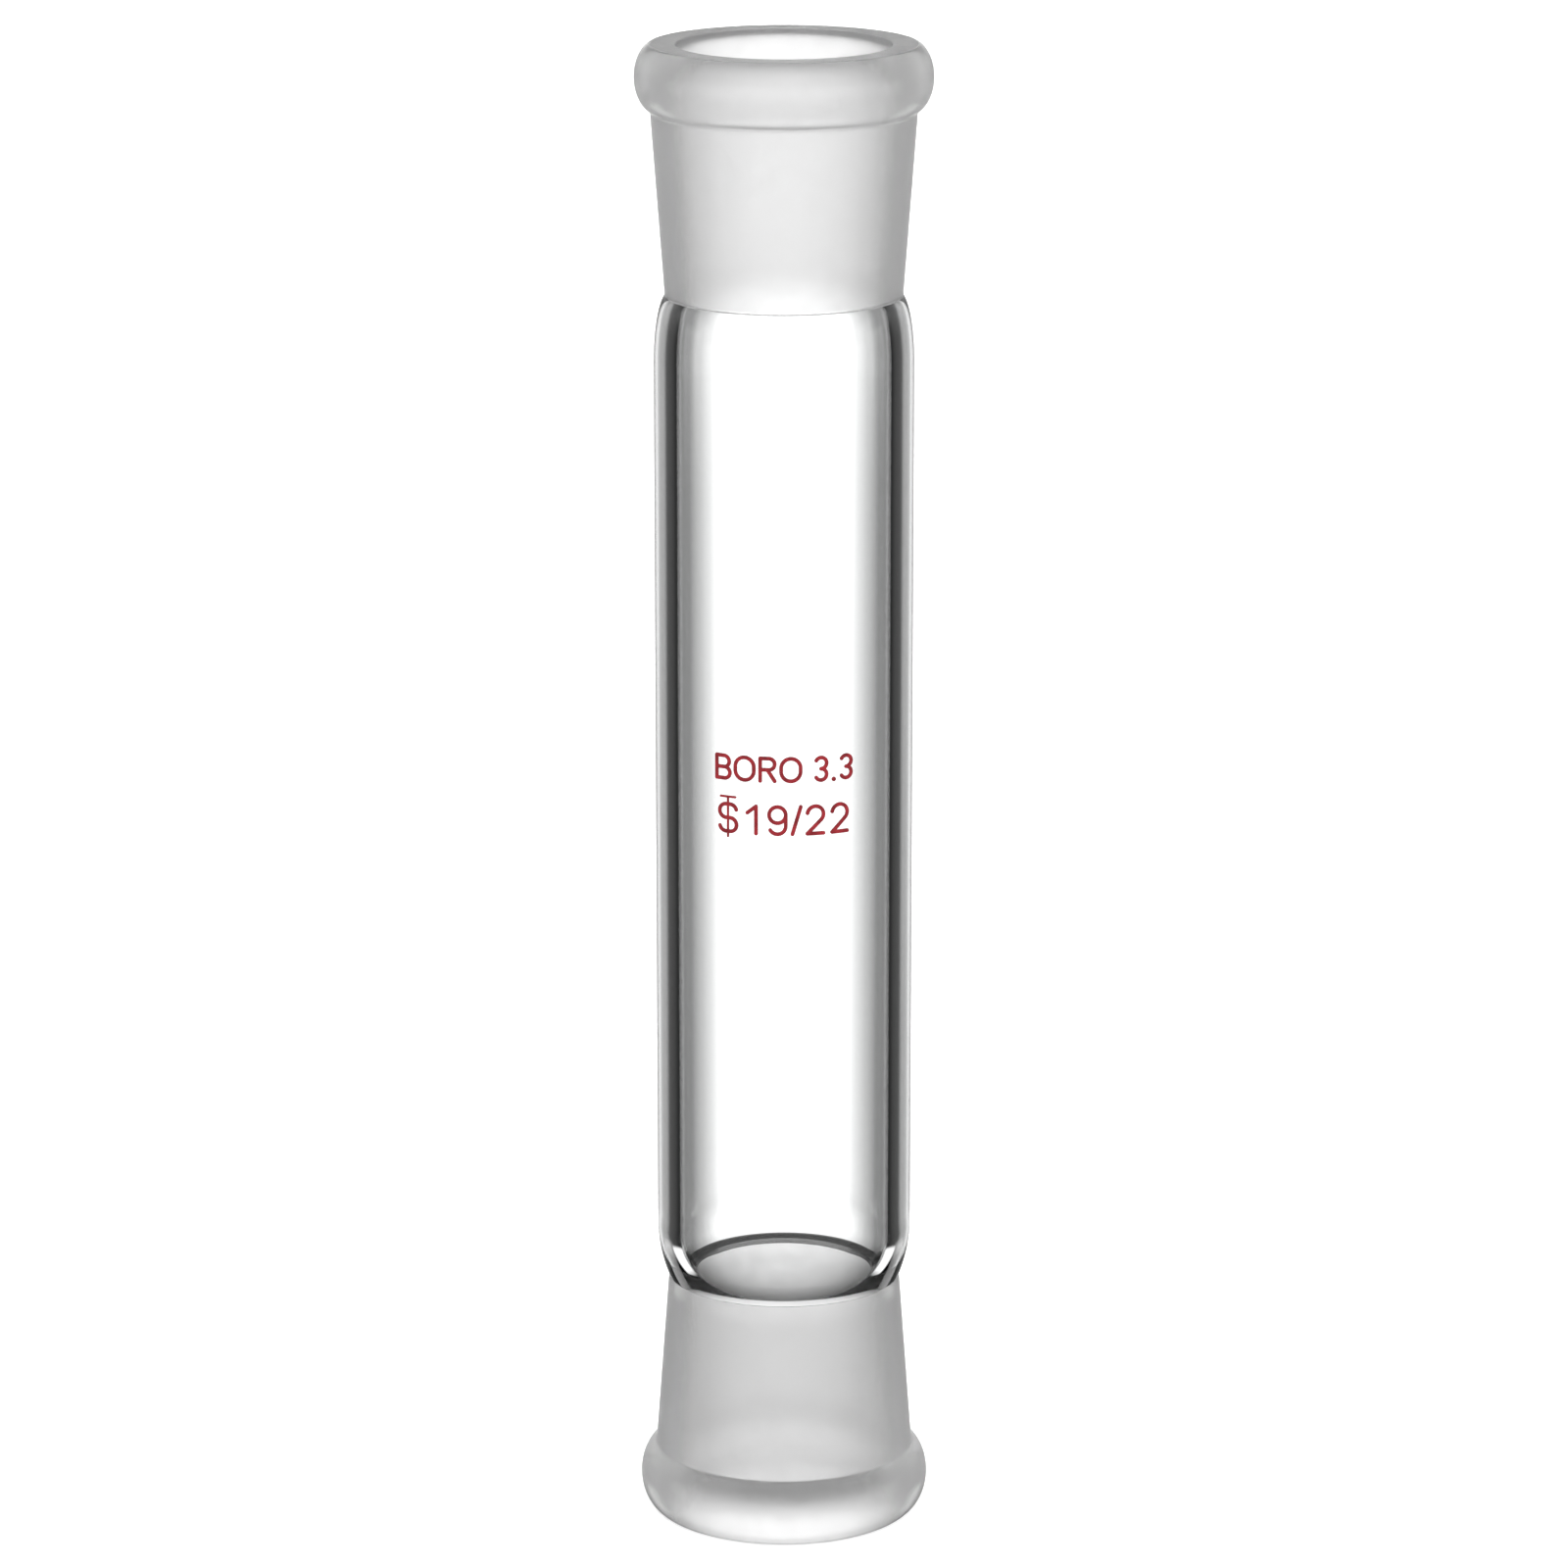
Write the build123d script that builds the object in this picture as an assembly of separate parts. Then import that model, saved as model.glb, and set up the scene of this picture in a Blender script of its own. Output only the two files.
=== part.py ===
from build123d import *
import math
import os

# Straight connecting tube (plain air condenser) in borosilicate glass: a tube with a ground
# 19/22 standard-taper socket sealed on at each end. Millimetres. The tube's axis is +Z, and
# the origin is the centre of the bottom rim, which the tube stands on.

# --- ground 19/22 socket ---
JOINT_LENGTH = 22.0  # ground length, from the rim to the seal
GROUND_LARGE_D = 18.8  # bore at the rim, before its edge is eased
TAPER = 0.1  # loss of bore diameter per unit of length
GROUND_SMALL_D = GROUND_LARGE_D - TAPER * JOINT_LENGTH  # 16.6 at the seal
SEAL_D = 20.9  # outside, at the seal
SOCKET_D = 23.3  # outside, where the wall meets the collar
COLLAR_D = 26.1  # outside, at the fullest part of the collar
COLLAR_DROP = 2.85  # from the rim down to the fullest part of the collar
COLLAR_DEPTH = 1.9  # the collar is half an ellipse in section, and the rim cuts it flat
COLLAR_HALF_HEIGHT = 3.05
COLLAR_END = COLLAR_DROP + COLLAR_HALF_HEIGHT
CREASE_RADIUS = 0.45  # fillet between the collar and the wall
MOUTH_RADIUS = 0.15  # eased edge of the ground bore
RIM_RADIUS = 0.1  # eased outer edge of the flat rim

# --- tube between the sockets ---
OVERALL_LENGTH = 134.0
MIDDLE = OVERALL_LENGTH / 2
TUBE_D = 22.9
TUBE_WALL = 2.0
TUBE_R = TUBE_D / 2
BORE_R = TUBE_R - TUBE_WALL
LOWER_SEAL_Z = JOINT_LENGTH

# The tube necks in to each seal: outside over its height, and inside by a funnel above a short
# straight neck. Each turn is how many degrees of its ellipse a curve takes.
LOWER_SHOULDER = {"height": 5.0, "turn": 22, "neck": 0.5, "funnel_height": 4.0, "funnel_turn": 48}
UPPER_SHOULDER = {"height": 6.0, "turn": 75, "neck": 0.1, "funnel_height": 6.0, "funnel_turn": 85}

# --- fired-on marking on the -Y side: the kind of glass, and under it the joint size ---
PRINT_THICKNESS = 0.08
STROKE = 0.34
FINE_STROKE = 0.2
GRADE_HEIGHT = 2.37
GRADE_Z = 72.0  # middle of the line of letters
SIZE_HEIGHT = 2.8
SIZE_Z = 67.43  # middle of the line of figures
LETTER_SIDE = 0.27  # from the middle of B and R to their sides, per unit of height
FIGURE_TURN = 0.26  # radius of the turns of 2 and 9, per unit of height


# --- glass ---


def nearest_vertex(sketch, x, y):
    """The sketch's corner nearest to (x, y)."""
    return sketch.vertices().sort_by_distance((x, y, 0))[0]


def socket_section():
    """Half section of a socket that opens downward, with its rim on z = 0."""
    seal_r, bore_large_r, bore_small_r = SEAL_D / 2, GROUND_LARGE_D / 2, GROUND_SMALL_D / 2
    collar_base_r = COLLAR_D / 2 - COLLAR_DEPTH
    wall_slope = (SOCKET_D / 2 - seal_r) / (JOINT_LENGTH - COLLAR_END)
    wall_r = seal_r + wall_slope * (JOINT_LENGTH - COLLAR_DROP)
    wall = make_face(
        Polyline(
            (bore_large_r, 0),
            (collar_base_r, 0),
            (collar_base_r, COLLAR_DROP),
            (wall_r, COLLAR_DROP),
            (seal_r, JOINT_LENGTH),
            (bore_small_r, JOINT_LENGTH),
            close=True,
        )
    )
    collar = Pos(collar_base_r, COLLAR_DROP) * Ellipse(COLLAR_DEPTH, COLLAR_HALF_HEIGHT)
    keep = Pos(collar_base_r, 0) * Rectangle(COLLAR_D, COLLAR_D, align=(Align.MIN, Align.MIN))
    section = wall + (collar & keep)
    section = fillet(nearest_vertex(section, SOCKET_D / 2, COLLAR_END), CREASE_RADIUS)
    section = fillet(nearest_vertex(section, bore_large_r, 0), MOUTH_RADIUS)
    return fillet(nearest_vertex(section, collar_base_r + COLLAR_DEPTH / 2, 0), RIM_RADIUS)


def socket_joint():
    """Ground socket with its collar, opening downward."""
    return revolve(Plane.XZ * socket_section(), Axis.Z)


def flare(neck_r, full_r, neck_z, height, turn):
    """Part of an ellipse that widens from the neck and meets the straight tube smoothly."""
    x_radius = (full_r - neck_r) / (1 - math.cos(math.radians(turn)))
    y_radius = height / math.sin(math.radians(turn))
    centre = (full_r - x_radius, neck_z + height)
    return EllipticalCenterArc(centre, x_radius, y_radius, start_angle=-turn, arc_size=turn)


def half_tube(height, turn, neck, funnel_height, funnel_turn):
    """Lower half of the tube, necked in to its seal by a shoulder of the given shape."""
    seal_r, neck_r = SEAL_D / 2, GROUND_SMALL_D / 2
    outside = flare(seal_r, TUBE_R, LOWER_SEAL_Z, height, turn)
    inside = flare(neck_r, BORE_R, LOWER_SEAL_Z + neck, funnel_height, funnel_turn)
    outline = [
        outside,
        Line(outside @ 1, (TUBE_R, MIDDLE)),
        Line((TUBE_R, MIDDLE), (BORE_R, MIDDLE)),
        Line((BORE_R, MIDDLE), inside @ 1),
        inside,
        Line(inside @ 0, (neck_r, LOWER_SEAL_Z)),
        Line((neck_r, LOWER_SEAL_Z), outside @ 0),
    ]
    return revolve(Plane.XZ * make_face(outline), Axis.Z)


def body_tube():
    """Clear tube that necks in, inside and out, to the seals at its two ends."""
    upper_half = mirror(half_tube(**UPPER_SHOULDER), about=Plane.XY.offset(MIDDLE))
    return half_tube(**LOWER_SHOULDER) + upper_half


# --- marking: each glyph is pen strokes of lines and round arcs, centred on its own middle ---


def pen(*edges, width=STROKE):
    """One round-ended stroke along edges that join end to end."""
    return SlotArc(Wire(list(edges)), width)


def arc(x, y, radius, start, size):
    """Round arc for a stroke, in degrees from +X and anticlockwise."""
    return CenterArc((x, y), radius, start, size)


def bowl(left, right, low, high):
    """Open D: out along the top, round, and back along the bottom."""
    turn, middle = (high - low) / 2, (high + low) / 2
    return pen(
        Line((left, high), (right - turn, high)),
        arc(right - turn, middle, turn, 90, -180),
        Line((right - turn, low), (left, low)),
    )


def glyph_b(height):
    edge, side = height / 2 - STROKE / 2, LETTER_SIDE * height
    upper_side = 0.9 * side
    stem = pen(Line((-side, -edge), (-side, edge)))
    return stem + bowl(-side, upper_side, 0, edge) + bowl(-side, side, -edge, 0)


def glyph_o(height):
    width = 0.86 * height
    outer = SlotOverall(height, width, rotation=90)
    return outer - SlotOverall(height - 2 * STROKE, width - 2 * STROKE, rotation=90)


def glyph_r(height):
    edge, side = height / 2 - STROKE / 2, LETTER_SIDE * height
    stem = pen(Line((-side, -edge), (-side, edge)))
    leg = pen(Line((0, 0), (side, -edge)))
    return stem + bowl(-side, side, 0, edge) + leg


def glyph_point(height):
    point_r = 0.6 * STROKE
    return Pos(0, (STROKE - height) / 2) * Circle(point_r)


def glyph_three(height):
    turn = (height - STROKE) / 4
    return pen(arc(0, turn, turn, 150, -240)) + pen(arc(0, -turn, turn, 90, -240))


def glyph_one(height):
    edge, stem_x = height / 2 - STROKE / 2, 0.13 * height
    flag_run, flag_drop = 0.28 * height, 0.22 * height
    flag = Line((stem_x, edge), (stem_x - flag_run, edge - flag_drop))
    return pen(Line((stem_x, -edge), (stem_x, edge))) + pen(flag)


def glyph_two(height):
    edge, turn = height / 2 - STROKE / 2, FIGURE_TURN * height
    top = arc(0, edge - turn, turn, 170, -210)
    slope, foot = Line(top @ 1, (-turn, -edge)), Line((-turn, -edge), (turn, -edge))
    return pen(top) + pen(slope) + pen(foot)


def glyph_nine(height):
    edge, turn = height / 2 - STROKE / 2, FIGURE_TURN * height
    ring_y = edge - turn
    ring = Circle(turn + STROKE / 2) - Circle(turn - STROKE / 2)
    back = pen(Line((turn, ring_y), (turn, -ring_y)), arc(0, -ring_y, turn, 0, -150))
    return Pos(0, ring_y) * ring + back


def glyph_slash(height):
    edge, lean = height / 2 - STROKE / 2, 0.13 * height
    return pen(Line((-lean, -edge), (lean, edge)))


def glyph_taper(height):
    """Standard-taper sign: an S with a T through it."""
    edge, shift = height / 2 - STROKE / 2, 0.07 * height
    turn = edge / 2
    bar_y, bar_x, foot_y = 0.68 * height, 0.25 * height, -0.6 * height
    upper = pen(
        arc(shift, turn, turn, 15, 75),
        Line((shift, edge), (-shift, edge)),
        arc(-shift, turn, turn, 90, 180),
        Line((-shift, 0), (shift, 0)),
    )
    stem = pen(Line((0, foot_y), (0, bar_y)), width=FINE_STROKE)
    bar = pen(Line((-bar_x, bar_y), (bar_x, bar_y)), width=FINE_STROKE)
    return upper + Rot(0, 0, 180) * upper + stem + bar


def printed_line(glyphs, height, z):
    """Glyphs set round the tube as raised print. Each has an advance in mm along the surface."""
    room, past_print = 3 * height, TUBE_R + 1
    shell = Cylinder(TUBE_R + PRINT_THICKNESS, room) - Cylinder(TUBE_R, room)
    at = -sum(advance for _, advance in glyphs) / 2
    letters = []
    for glyph, advance in glyphs:
        turn = math.degrees((at + advance / 2) / TUBE_R)
        at += advance
        if glyph:
            block = extrude(Plane.XZ * glyph(height), past_print)
            letters.append(Pos(0, 0, z) * Rot(0, 0, turn) * (block & shell))
    return letters


def size_marking():
    """The marking's letters and figures, one solid each."""
    grade = [
        (glyph_b, 1.85),
        (glyph_o, 2.15),
        (glyph_r, 1.95),
        (glyph_o, 2.15),
        (None, 0.8),
        (glyph_three, 1.6),
        (glyph_point, 0.75),
        (glyph_three, 1.6),
    ]
    size = [
        (glyph_taper, 2.2),
        (glyph_one, 2.25),
        (glyph_nine, 2.25),
        (glyph_slash, 1.1),
        (glyph_two, 2.25),
        (glyph_two, 2.25),
    ]
    letters = printed_line(grade, GRADE_HEIGHT, GRADE_Z) + printed_line(size, SIZE_HEIGHT, SIZE_Z)
    return Compound([solid for letter in letters for solid in letter.solids()])


os.makedirs("parts", exist_ok=True)
export_step(socket_joint(), "parts/lower_socket_joint.step")
upper_joint = Pos(0, 0, OVERALL_LENGTH) * Rot(180, 0, 0) * socket_joint()
export_step(upper_joint, "parts/upper_socket_joint.step")
export_step(body_tube(), "parts/body_tube.step")
export_step(size_marking(), "parts/size_marking.step")
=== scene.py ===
import math

import bpy
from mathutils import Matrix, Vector


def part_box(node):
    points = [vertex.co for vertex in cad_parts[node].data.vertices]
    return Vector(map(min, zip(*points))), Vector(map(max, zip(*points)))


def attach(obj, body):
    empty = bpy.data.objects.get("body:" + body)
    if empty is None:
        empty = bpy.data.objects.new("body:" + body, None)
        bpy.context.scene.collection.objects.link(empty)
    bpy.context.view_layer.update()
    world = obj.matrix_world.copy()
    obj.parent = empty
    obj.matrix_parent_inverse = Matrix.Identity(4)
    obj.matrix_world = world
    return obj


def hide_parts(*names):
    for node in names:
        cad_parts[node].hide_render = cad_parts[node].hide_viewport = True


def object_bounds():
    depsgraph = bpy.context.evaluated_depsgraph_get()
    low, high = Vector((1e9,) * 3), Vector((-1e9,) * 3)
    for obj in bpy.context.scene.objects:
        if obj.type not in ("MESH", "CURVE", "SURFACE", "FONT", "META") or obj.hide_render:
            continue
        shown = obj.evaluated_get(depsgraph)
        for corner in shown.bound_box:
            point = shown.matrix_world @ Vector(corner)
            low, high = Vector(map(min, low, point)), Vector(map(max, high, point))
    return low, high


# A straight borosilicate connecting tube with a ground 19/22 socket at each end, standing on
# a pale floor. Metres, in the CAD frame: the tube's axis is +Z and it stands on z = 0.

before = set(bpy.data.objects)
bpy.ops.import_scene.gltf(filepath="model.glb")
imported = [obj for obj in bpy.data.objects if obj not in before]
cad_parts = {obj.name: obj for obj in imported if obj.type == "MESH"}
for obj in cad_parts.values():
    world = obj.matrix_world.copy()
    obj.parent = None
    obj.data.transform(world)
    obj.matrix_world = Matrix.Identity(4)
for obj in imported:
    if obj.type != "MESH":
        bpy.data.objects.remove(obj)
cad_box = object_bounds()

MM = 0.001
BODY = "root"

# --- sizes read from the frame ---
HIGHEST = cad_box[1]
HEIGHT, COLLAR_R = HIGHEST.z, HIGHEST.x
TUBE_LOW, TUBE_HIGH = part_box("body_tube")
LOWER_SEAL_Z, TUBE_R = TUBE_LOW.z, TUBE_HIGH.x

# --- the sections' other driving dimensions, as in the CAD model ---
BORE_R = TUBE_R - 2.0 * MM
SEAL_R = 10.45 * MM
SOCKET_R = 11.65 * MM  # outside, where the wall meets the collar
GROUND_LARGE_R = 9.4 * MM
GROUND_SMALL_R = 8.3 * MM
COLLAR_DROP = 2.85 * MM  # from the rim down to the fullest part of the collar
COLLAR_DEPTH = 1.9 * MM
COLLAR_HALF_HEIGHT = 3.05 * MM
MOUTH_RADIUS = 0.15 * MM

# The rim's outer edge and the crease under the collar are soft bends here, not CAD fillets.
RIM_BEND = 0.25 * MM  # how far the rim's outer bend runs along the flat rim
RIM_BEND_TURN = 3  # and along the collar, in degrees of its ellipse
CREASE_BEND = 0.32 * MM  # how far the crease's bend runs out along the collar
CREASE_BEND_ON_WALL = 1.4 * CREASE_BEND

# The tube necks in to each seal: outside over its height, and inside by a funnel above a short
# straight neck. Each turn is how many degrees of its ellipse a curve takes, and lap is how far
# the frosted joint laps up the outside, past the seal.
LOWER_SHOULDER = {
    "height": 5.0 * MM,
    "turn": 22,
    "neck": 0.5 * MM,
    "funnel_height": 4.0 * MM,
    "funnel_turn": 48,
    "lap": 0.2 * MM,
    # the lower seal's faces are a grey see-through sheet: painted shade that darkens light passing
    # through the seal
    "seam": "painted_shade_seam",
}
UPPER_SHOULDER = {
    "height": 6.0 * MM,
    "turn": 75,
    "neck": 0.1 * MM,
    "funnel_height": 6.0 * MM,
    "funnel_turn": 85,
    "lap": 0.0,
    "seam": "clear_seam",
}

SEGMENTS = 256
RUN_STEP = 2.0 * MM


# --- outlines: (zone, points) runs of one closed half section, outside first and upward ---


def line(start, end, step=RUN_STEP):
    """Evenly spaced points from start to end."""
    count = max(1, math.ceil(math.dist(start, end) / step))
    return [tuple(a + (b - a) * i / count for a, b in zip(start, end)) for i in range(count + 1)]


def arc(centre, rx, ry, start, end, count=20):
    """Points on an axis-aligned ellipse, from start to end in degrees."""
    turns = [math.radians(start + (end - start) * i / count) for i in range(count + 1)]
    return [(centre[0] + rx * math.cos(t), centre[1] + ry * math.sin(t)) for t in turns]


def bend(start, corner, end, count=8):
    """A smooth bend that leaves start and reaches end along the lines through the corner."""
    points = []
    for i in range(count + 1):
        t = i / count
        weights = (1 - t) ** 2, 2 * t * (1 - t), t ** 2
        weighted = list(zip(weights, (start, corner, end)))
        points.append(tuple(sum(w * p[k] for w, p in weighted) for k in (0, 1)))
    return points


def crossing(p, along_p, q, along_q):
    """Where the line through p and the line through q cross."""
    cross = along_p[0] * along_q[1] - along_p[1] * along_q[0]
    t = ((q[0] - p[0]) * along_q[1] - (q[1] - p[1]) * along_q[0]) / cross
    return p[0] + t * along_p[0], p[1] + t * along_p[1]


def flipped(points, z):
    """The same points in the other order, turned upside down about height z."""
    return [(r, 2 * z - h) for r, h in reversed(points)]


def flipped_runs(runs, z):
    """The same closed section turned upside down about height z."""
    return [(zone, flipped(points, z)) for zone, points in reversed(runs)]


def flare(neck_r, full_r, neck_z, height, turn, count=64):
    """Part of an ellipse that widens from the neck and meets the straight tube smoothly."""
    rx = (full_r - neck_r) / (1 - math.cos(math.radians(turn)))
    ry = height / math.sin(math.radians(turn))
    return arc((full_r - rx, neck_z + height), rx, ry, -turn, 0, count)


def neck_outside(shape):
    """A lower shoulder's outside in two runs: the joint's lap past the seal, and the rest."""
    points = flare(SEAL_R, TUBE_R, LOWER_SEAL_Z, shape["height"], shape["turn"])
    lap = [points[0]] + [point for point in points[1:] if point[1] <= LOWER_SEAL_Z + shape["lap"]]
    return lap, points[len(lap) - 1:]


def neck_inside(shape):
    """A lower shoulder's inside: the short straight neck and the funnel."""
    neck_z = LOWER_SEAL_Z + shape["neck"]
    funnel = flare(GROUND_SMALL_R, BORE_R, neck_z, shape["funnel_height"], shape["funnel_turn"])
    return [(GROUND_SMALL_R, LOWER_SEAL_Z)] + funnel


def socket_outline(shape):
    """Half section of a socket joint that opens downward, rim on z = 0: out along the rim, up
    to its seal with a shoulder of the given shape, and back down the ground bore.
    """
    base_r = COLLAR_R - COLLAR_DEPTH
    centre = (base_r, COLLAR_DROP)
    slope = (SOCKET_R - SEAL_R) / (LOWER_SEAL_Z - COLLAR_DROP - COLLAR_HALF_HEIGHT)

    def wall(z):
        return SEAL_R + slope * (LOWER_SEAL_Z - z), z

    def on_collar(degrees):
        t = math.radians(degrees)
        point = base_r + COLLAR_DEPTH * math.cos(t), COLLAR_DROP + COLLAR_HALF_HEIGHT * math.sin(t)
        return point, (-COLLAR_DEPTH * math.sin(t), COLLAR_HALF_HEIGHT * math.cos(t))

    edge_turn = RIM_BEND_TURN - math.degrees(math.asin(COLLAR_DROP / COLLAR_HALF_HEIGHT))
    edge, edge_along = on_collar(edge_turn)
    rim_end = edge[0] - RIM_BEND, 0.0
    rim_corner = crossing(rim_end, (1, 0), edge, edge_along)
    crease_turn = math.degrees(math.acos((SOCKET_R + CREASE_BEND - base_r) / COLLAR_DEPTH))
    crease, crease_along = on_collar(crease_turn)
    wall_start = wall(crease[1] + CREASE_BEND_ON_WALL)
    crease_corner = crossing(crease, crease_along, wall_start, (-slope, 1))
    lap, _ = neck_outside(shape)
    taper = (GROUND_LARGE_R - GROUND_SMALL_R) / LOWER_SEAL_Z
    bore_end = GROUND_LARGE_R - taper * MOUTH_RADIUS, MOUTH_RADIUS
    mouth = GROUND_LARGE_R + MOUTH_RADIUS, 0.0
    return [
        ("ground", line(mouth, rim_end)),
        ("satin", bend(rim_end, rim_corner, edge)),
        ("satin", arc(centre, COLLAR_DEPTH, COLLAR_HALF_HEIGHT, edge_turn, crease_turn, 48)),
        ("satin", bend(crease, crease_corner, wall_start, 12)),
        ("satin", line(wall_start, lap[0])),
        ("satin", lap),
        (shape["seam"], line(lap[-1], (GROUND_SMALL_R, LOWER_SEAL_Z))),
        ("ground", line((GROUND_SMALL_R, LOWER_SEAL_Z), bore_end, 1.0 * MM)),
        ("ground", bend(bore_end, (GROUND_LARGE_R, 0.0), mouth)),
    ]


def tube_outline():
    """Half section of the clear tube, from the lower seam's outer edge up and back down inside."""
    _, outside = neck_outside(LOWER_SHOULDER)
    _, upper_outside = neck_outside(UPPER_SHOULDER)
    inside = neck_inside(LOWER_SHOULDER)[::-1]
    above = flipped(upper_outside, HEIGHT / 2)
    above_inside = flipped(neck_inside(UPPER_SHOULDER), HEIGHT / 2)[::-1]
    return [
        ("clear", outside),
        ("clear", line(outside[-1], above[0])),
        ("clear", above),
        (UPPER_SHOULDER["seam"], line(above[-1], above_inside[0])),
        ("clear", above_inside),
        ("clear", line(above_inside[-1], inside[0])),
        ("clear", inside),
        (LOWER_SHOULDER["seam"], line(inside[-1], outside[0])),
    ]


# --- meshes ---


def lathe(name, runs, materials):
    """Turns a closed half section about the Z axis. materials maps each zone to its material."""
    zones, profile = [], []
    for zone, points in runs:
        profile += points[:-1]
        zones += [zone] * (len(points) - 1)
    order = list(materials)
    turns = [2 * math.pi * i / SEGMENTS for i in range(SEGMENTS)]
    vertices = [(r * math.sin(t), -r * math.cos(t), z) for r, z in profile for t in turns]
    faces, slots = [], []
    for ring, zone in enumerate(zones):
        low, high = ring * SEGMENTS, (ring + 1) % len(profile) * SEGMENTS
        for i in range(SEGMENTS):
            j = (i + 1) % SEGMENTS
            faces.append((low + i, low + j, high + j, high + i))
            slots.append(order.index(zone))
    mesh = bpy.data.meshes.new(name)
    mesh.from_pydata(vertices, [], faces)
    for zone in order:
        mesh.materials.append(materials[zone])
    mesh.polygons.foreach_set("material_index", slots)
    mesh.polygons.foreach_set("use_smooth", [True] * len(faces))
    mesh.validate()
    mesh.set_sharp_from_angle(angle=math.radians(40))
    piece = bpy.data.objects.new(name, mesh)
    bpy.context.scene.collection.objects.link(piece)
    return piece


# --- materials ---


def new_material(name):
    material = bpy.data.materials.new(name)
    material.use_nodes = True
    nodes = material.node_tree.nodes
    return material, nodes, material.node_tree.links, nodes["Principled BSDF"]


def add(nodes, kind, **settings):
    node = nodes.new(kind)
    for key, value in settings.items():
        if key in node.inputs:
            node.inputs[key].default_value = value
        else:
            setattr(node, key, value)
    return node


def noise(nodes, links, scale, stretch=(1, 1, 1), detail=2.0):
    """Noise in the object's own space. scale is per metre, and stretch lengthens it."""
    where = add(nodes, "ShaderNodeTexCoord")
    mapping = add(nodes, "ShaderNodeMapping")
    mapping.inputs["Scale"].default_value = [1 / s for s in stretch]
    texture = add(nodes, "ShaderNodeTexNoise", Scale=scale, Detail=detail)
    links.new(where.outputs["Object"], mapping.inputs["Vector"])
    links.new(mapping.outputs["Vector"], texture.inputs["Vector"])
    return texture.outputs["Fac"]


def ranged(nodes, links, value, low, high):
    """value, from 0.3 to 0.7 as noise gives it, spread over low to high."""
    spread = add(nodes, "ShaderNodeMapRange")
    for key, number in (("From Min", 0.3), ("From Max", 0.7), ("To Min", low), ("To Max", high)):
        spread.inputs[key].default_value = number
    links.new(value, spread.inputs["Value"])
    return spread.outputs["Result"]


def bump(nodes, links, height, distance, shader, strength=1.0):
    node = add(nodes, "ShaderNodeBump", Strength=strength, Distance=distance)
    links.new(height, node.inputs["Height"])
    links.new(node.outputs["Normal"], shader.inputs["Normal"])


GLASS_IOR = 1.47


def clear_glass():
    """Fire-polished borosilicate: colourless, with the faint long ripple of drawn tube."""
    material, nodes, links, shader = new_material("clear_glass")
    shader.inputs["Base Color"].default_value = (0.99, 0.995, 0.994, 1)
    shader.inputs["Transmission Weight"].default_value = 1.0
    shader.inputs["IOR"].default_value = GLASS_IOR
    film = noise(nodes, links, 90, stretch=(1, 1, 4))
    links.new(ranged(nodes, links, film, 0.0, 0.02), shader.inputs["Roughness"])
    ripple = noise(nodes, links, 260, stretch=(1, 1, 60), detail=1.0)
    bump(nodes, links, ripple, 2e-6, shader)
    return material


def ground_glass(name, low, high, pits):
    """Borosilicate ground to a fine even frost, whose pits also scatter a little light. low and
    high bound its roughness, and pits is their depth in metres.
    """
    material, nodes, links, shader = new_material(name)
    shader.inputs["Base Color"].default_value = (0.99, 0.99, 0.99, 1)
    shader.inputs["Transmission Weight"].default_value = 0.85
    shader.inputs["IOR"].default_value = GLASS_IOR
    patches = noise(nodes, links, 700)
    links.new(ranged(nodes, links, patches, low, high), shader.inputs["Roughness"])
    grain = noise(nodes, links, 9000, detail=3.0)
    bump(nodes, links, grain, pits, shader)
    return material


def melted_seam(name, clarity):
    """Inside a seam the glass is one body. A clarity below 1 greys its faces: painted shade over
    the seal.
    """
    material, nodes, links, shader = new_material(name)
    nodes.remove(shader)
    clear = add(nodes, "ShaderNodeBsdfTransparent")
    clear.inputs["Color"].default_value = (clarity, clarity, clarity, 1)
    links.new(clear.outputs["BSDF"], nodes["Material Output"].inputs["Surface"])
    return material


def enamel():
    """Deep red screen-printed glass enamel, a little uneven in tone, with a soft gloss."""
    material, nodes, links, shader = new_material("red_enamel")
    tone = noise(nodes, links, 1500, detail=4.0)
    ramp = add(nodes, "ShaderNodeValToRGB")
    ramp.color_ramp.elements[0].position = 0.3
    ramp.color_ramp.elements[0].color = (0.16, 0.002, 0.006, 1)
    ramp.color_ramp.elements[1].position = 0.7
    ramp.color_ramp.elements[1].color = (0.33, 0.010, 0.018, 1)
    links.new(tone, ramp.inputs["Fac"])
    links.new(ramp.outputs["Color"], shader.inputs["Base Color"])
    shader.inputs["Specular IOR Level"].default_value = 0.25
    links.new(ranged(nodes, links, tone, 0.6, 0.45), shader.inputs["Roughness"])
    bump(nodes, links, noise(nodes, links, 12000), 4e-6, shader)
    return material


# --- the object ---

ZONES = {
    "clear": clear_glass(),
    "ground": ground_glass("ground_glass", low=0.4, high=0.5, pits=1.2e-5),
    "satin": ground_glass("satin_glass", low=0.2, high=0.24, pits=5e-6),
    # a grey see-through sheet on the lower seal's faces, painted shade; the upper seal's faces stay
    # clear
    "painted_shade_seam": melted_seam("painted_shade_seam", 0.3),
    "clear_seam": melted_seam("clear_seam", 1.0),
}
lower = socket_outline(LOWER_SHOULDER)
upper = flipped_runs(socket_outline(UPPER_SHOULDER), HEIGHT / 2)
PIECES = (
    ("lower_socket_glass", "lower_socket_joint", lower, "ground_glass"),
    ("body_tube_glass", "body_tube", tube_outline(), "clear_glass"),
    ("upper_socket_glass", "upper_socket_joint", upper, "ground_glass"),
)
for name, node, outline, slot in PIECES:
    piece = lathe(name, outline, ZONES)
    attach(piece, BODY)
    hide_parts(node)

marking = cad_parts["size_marking"]
marking.data.materials.clear()
marking.data.materials.append(enamel())


# --- camera ---

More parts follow.
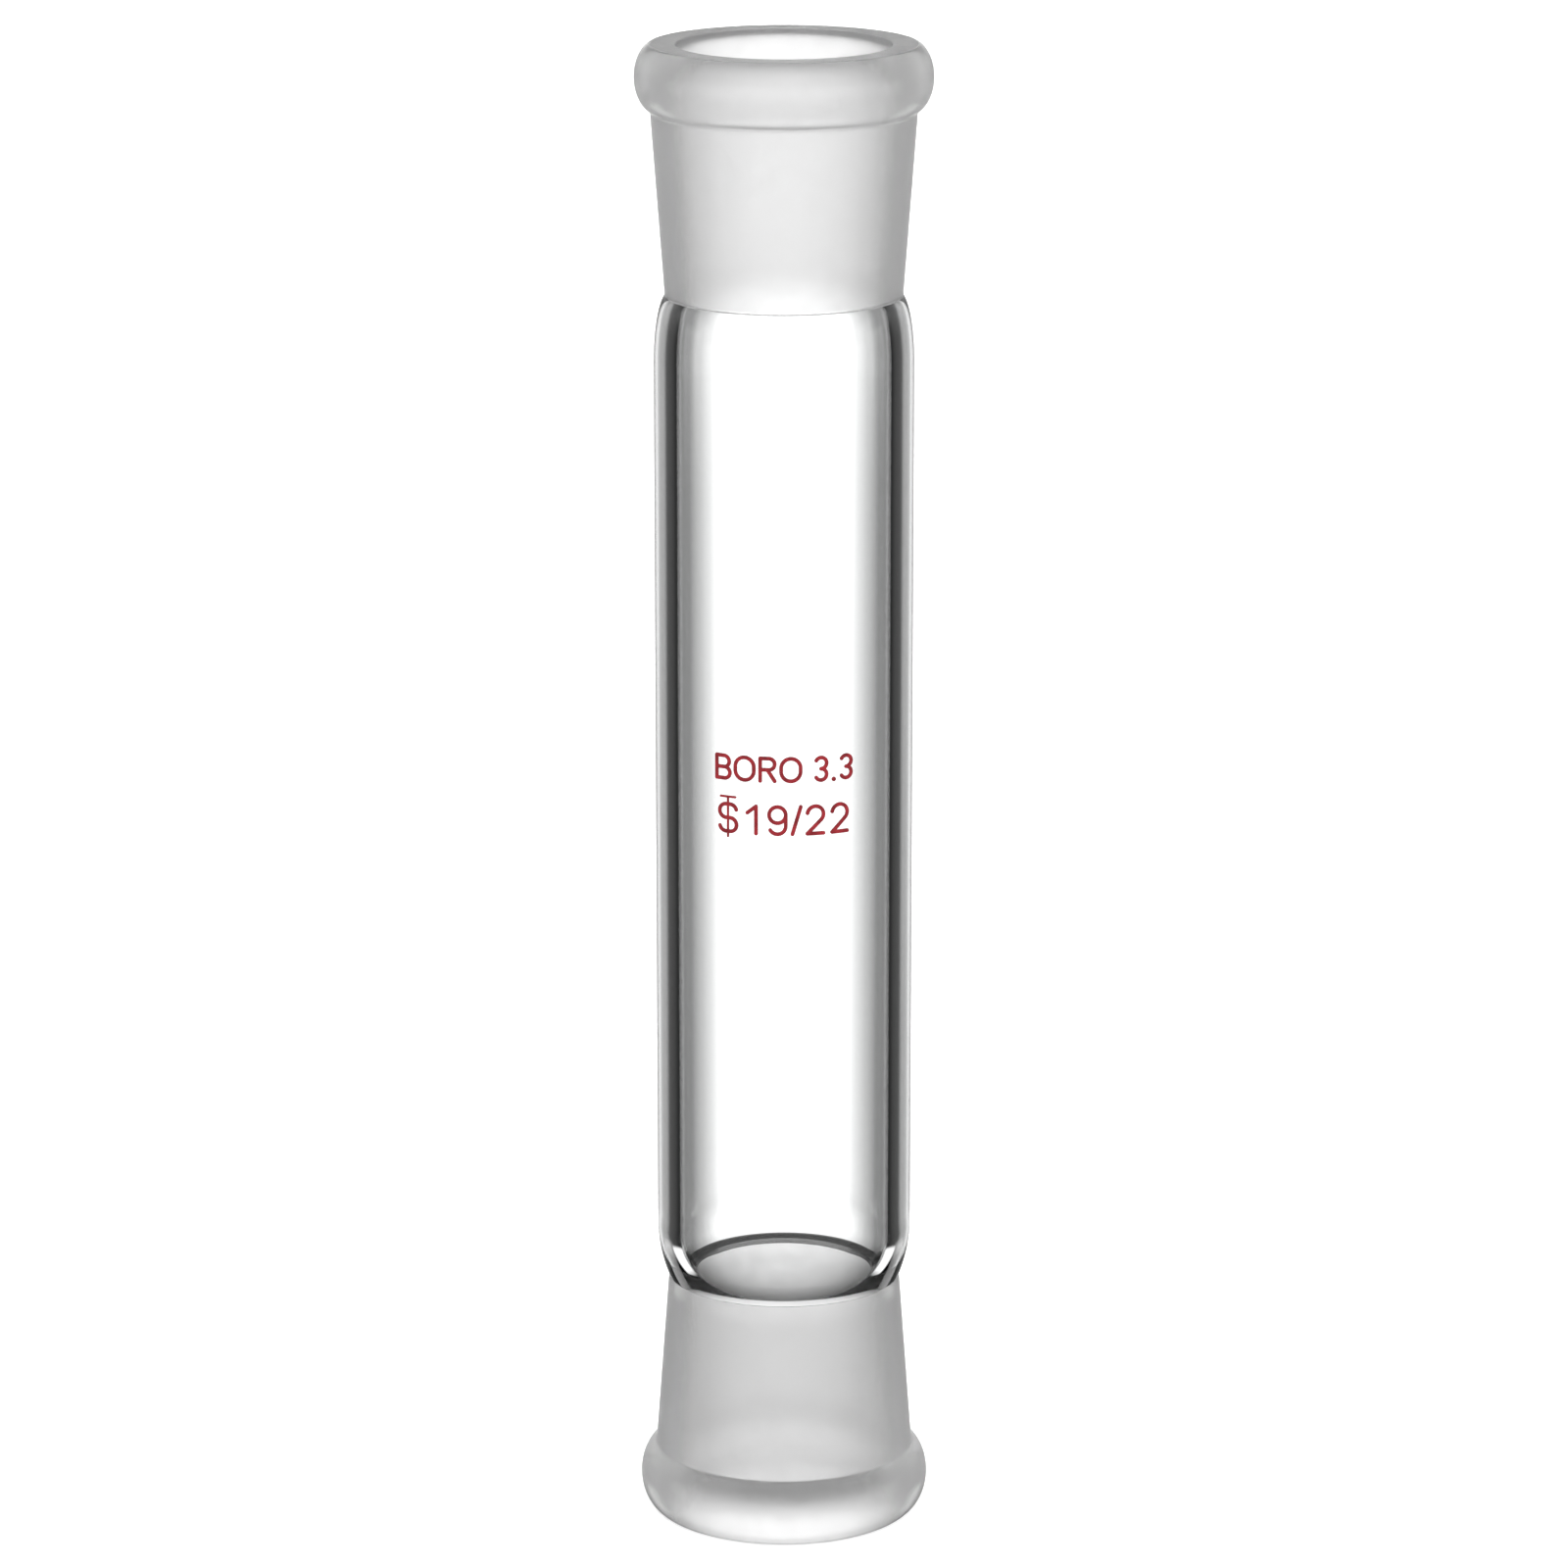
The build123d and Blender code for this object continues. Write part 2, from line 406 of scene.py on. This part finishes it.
CAMERA_DISTANCE = 0.57063
CAMERA_ELEVATION = math.radians(14.702)
CAMERA_LENS = 146.9
AIM_SHARE = 0.5055  # how far up the tube the camera looks, as a share of its height
AIM = Vector((0, 0, AIM_SHARE * HEIGHT))

camera_data = bpy.data.cameras.new("camera")
camera_data.lens = CAMERA_LENS
camera_data.clip_start = 0.01
camera = bpy.data.objects.new("camera", camera_data)
camera.rotation_euler = (math.pi / 2 - CAMERA_ELEVATION, 0, 0)
back = Vector((0, -math.cos(CAMERA_ELEVATION), math.sin(CAMERA_ELEVATION)))
camera.location = AIM + back * CAMERA_DISTANCE
bpy.context.scene.collection.objects.link(camera)
bpy.context.scene.camera = camera


# --- floor, light tent and world ---

WHITE = 1.15  # brightness of the world, which is what the camera and the floor see
FLOOR_HALF = 20.0
FLOOR_GLOW = 0.5  # the floor is a sheet of white acrylic, softly lit from below
TENT_RADIUS = 2.0


def pale_floor():
    """A wide plain floor. Glass looks past it into the light tent."""
    material, nodes, links, shader = new_material("floor")
    shade = ranged(nodes, links, noise(nodes, links, 60), 0.90, 0.92)
    tint = add(nodes, "ShaderNodeCombineColor")
    for channel in ("Red", "Green", "Blue"):
        links.new(shade, tint.inputs[channel])
    links.new(tint.outputs["Color"], shader.inputs["Base Color"])
    shader.inputs["Roughness"].default_value = 1.0
    shader.inputs["Specular IOR Level"].default_value = 0.0
    shader.inputs["Emission Color"].default_value = (1, 1, 1, 1)
    shader.inputs["Emission Strength"].default_value = FLOOR_GLOW
    corners = [(x * FLOOR_HALF, y * FLOOR_HALF, 0) for x, y in ((-1, -1), (1, -1), (1, 1), (-1, 1))]
    mesh = bpy.data.meshes.new("floor")
    mesh.from_pydata(corners, [], [(0, 1, 2, 3)])
    mesh.materials.append(material)
    floor = bpy.data.objects.new("floor", mesh)
    floor.visible_transmission = False
    floor.visible_glossy = False
    bpy.context.scene.collection.objects.link(floor)


# Each light fills a fixed part of the tent: brightness by degrees of azimuth to either side
# of +Y, times brightness by degrees of elevation.

# white behind the object, with dark gaps beside it
BACKDROP = (
    (
        (0, 1.55),
        (6, 1.5),
        (8.5, 1.0),
        (11, 0.73),
        (17, 0.36),
        (24, 0.33),
        (29, 0.25),
        (33, 0.08),
        (45, 0.05),
        (60, 0),
    ),
    ((-30, 0), (-22, 0.9), (-9, 0.95), (0, 1), (6, 1.3), (13, 0)),
)

CEILING = (
    ((0, 0.25), (12, 0.55), (30, 1)),
    ((-2, 0), (6, 0.3), (30, 0.4), (50, 0.6)),
)

FRONT_FILL = (
    ((80, 0), (120, 1)),
    ((-60, 0.15), (-38, 0.5), (-24, 0.8), (-14, 0.7), (-5, 1.6), (8, 1.5), (16, 0.4), (22, 0)),
)

# soft boxes: the quarter ones stand low, and the side ones level with the object
QUARTER_PANELS = (
    ((33, 0), (37, 1.4), (53, 1.4), (57, 0)),
    ((-42, 0), (-36, 1), (-23, 1), (-21, 0)),
)
SIDE_PANELS = (
    ((78, 0), (82, 1.2), (98, 1.2), (102, 0)),
    ((-11, 0), (-9.5, 1), (6, 1), (10, 0)),
)

FLOOR_BOUNCE = (
    ((0, 1), (180, 1)),
    ((-65, 0.9), (-52, 0)),
)

LIGHTS = BACKDROP, CEILING, FRONT_FILL, QUARTER_PANELS, SIDE_PANELS, FLOOR_BOUNCE


def stepped(nodes, links, degrees, low, high, stops):
    """Brightness that follows (degrees, brightness) stops, for an angle between low and high."""
    share = add(nodes, "ShaderNodeMapRange")
    share.inputs["From Min"].default_value = low
    share.inputs["From Max"].default_value = high
    links.new(degrees, share.inputs["Value"])
    ramp = add(nodes, "ShaderNodeValToRGB")
    elements = ramp.color_ramp.elements
    while len(elements) < len(stops):
        elements.new(1.0)
    for element, (angle, light) in zip(elements, stops):
        element.position = (angle - low) / (high - low)
        element.color = (light, light, light, 1)
    links.new(share.outputs["Result"], ramp.inputs["Fac"])
    return ramp.outputs["Color"]


def maths(nodes, links, operation, *values):
    node = add(nodes, "ShaderNodeMath", operation=operation)
    for socket, value in zip(node.inputs, values):
        links.new(value, socket)
    return node.outputs["Value"]


def light_tent():
    """A closed tent of fixed studio lights, seen only in reflections and through glass."""
    material, nodes, links, shader = new_material("light_tent")
    nodes.remove(shader)
    where = add(nodes, "ShaderNodeTexCoord")
    direction = add(nodes, "ShaderNodeVectorMath", operation="NORMALIZE")
    links.new(where.outputs["Object"], direction.inputs[0])
    split = add(nodes, "ShaderNodeSeparateXYZ")
    links.new(direction.outputs["Vector"], split.inputs["Vector"])
    turn = maths(nodes, links, "ARCTAN2", split.outputs["X"], split.outputs["Y"])
    aside = maths(nodes, links, "DEGREES", maths(nodes, links, "ABSOLUTE", turn))
    up = maths(nodes, links, "DEGREES", maths(nodes, links, "ARCSINE", split.outputs["Z"]))
    total = None
    for by_azimuth, by_elevation in LIGHTS:
        across = stepped(nodes, links, aside, 0, 180, by_azimuth)
        upward = stepped(nodes, links, up, -90, 90, by_elevation)
        light = maths(nodes, links, "MULTIPLY", across, upward)
        total = maths(nodes, links, "ADD", total, light) if total else light
    glow = add(nodes, "ShaderNodeEmission")
    links.new(total, glow.inputs["Strength"])
    links.new(glow.outputs["Emission"], nodes["Material Output"].inputs["Surface"])
    bpy.ops.mesh.primitive_uv_sphere_add(
        segments=64, ring_count=32, radius=TENT_RADIUS, location=AIM
    )
    tent = bpy.context.object
    tent.name = "light_tent"
    tent.data.materials.append(material)
    tent.visible_camera = False
    tent.visible_diffuse = False
    tent.visible_shadow = False


def white_world():
    world = bpy.data.worlds.new("world")
    world.use_nodes = True
    background = world.node_tree.nodes["Background"]
    background.inputs["Color"].default_value = (1, 1, 1, 1)
    background.inputs["Strength"].default_value = WHITE
    bpy.context.scene.world = world


pale_floor()
light_tent()
white_world()

scene = bpy.context.scene
scene.view_settings.view_transform = "Standard"
scene.cycles.max_bounces = 24
scene.cycles.transmission_bounces = 20
scene.cycles.transparent_max_bounces = 24
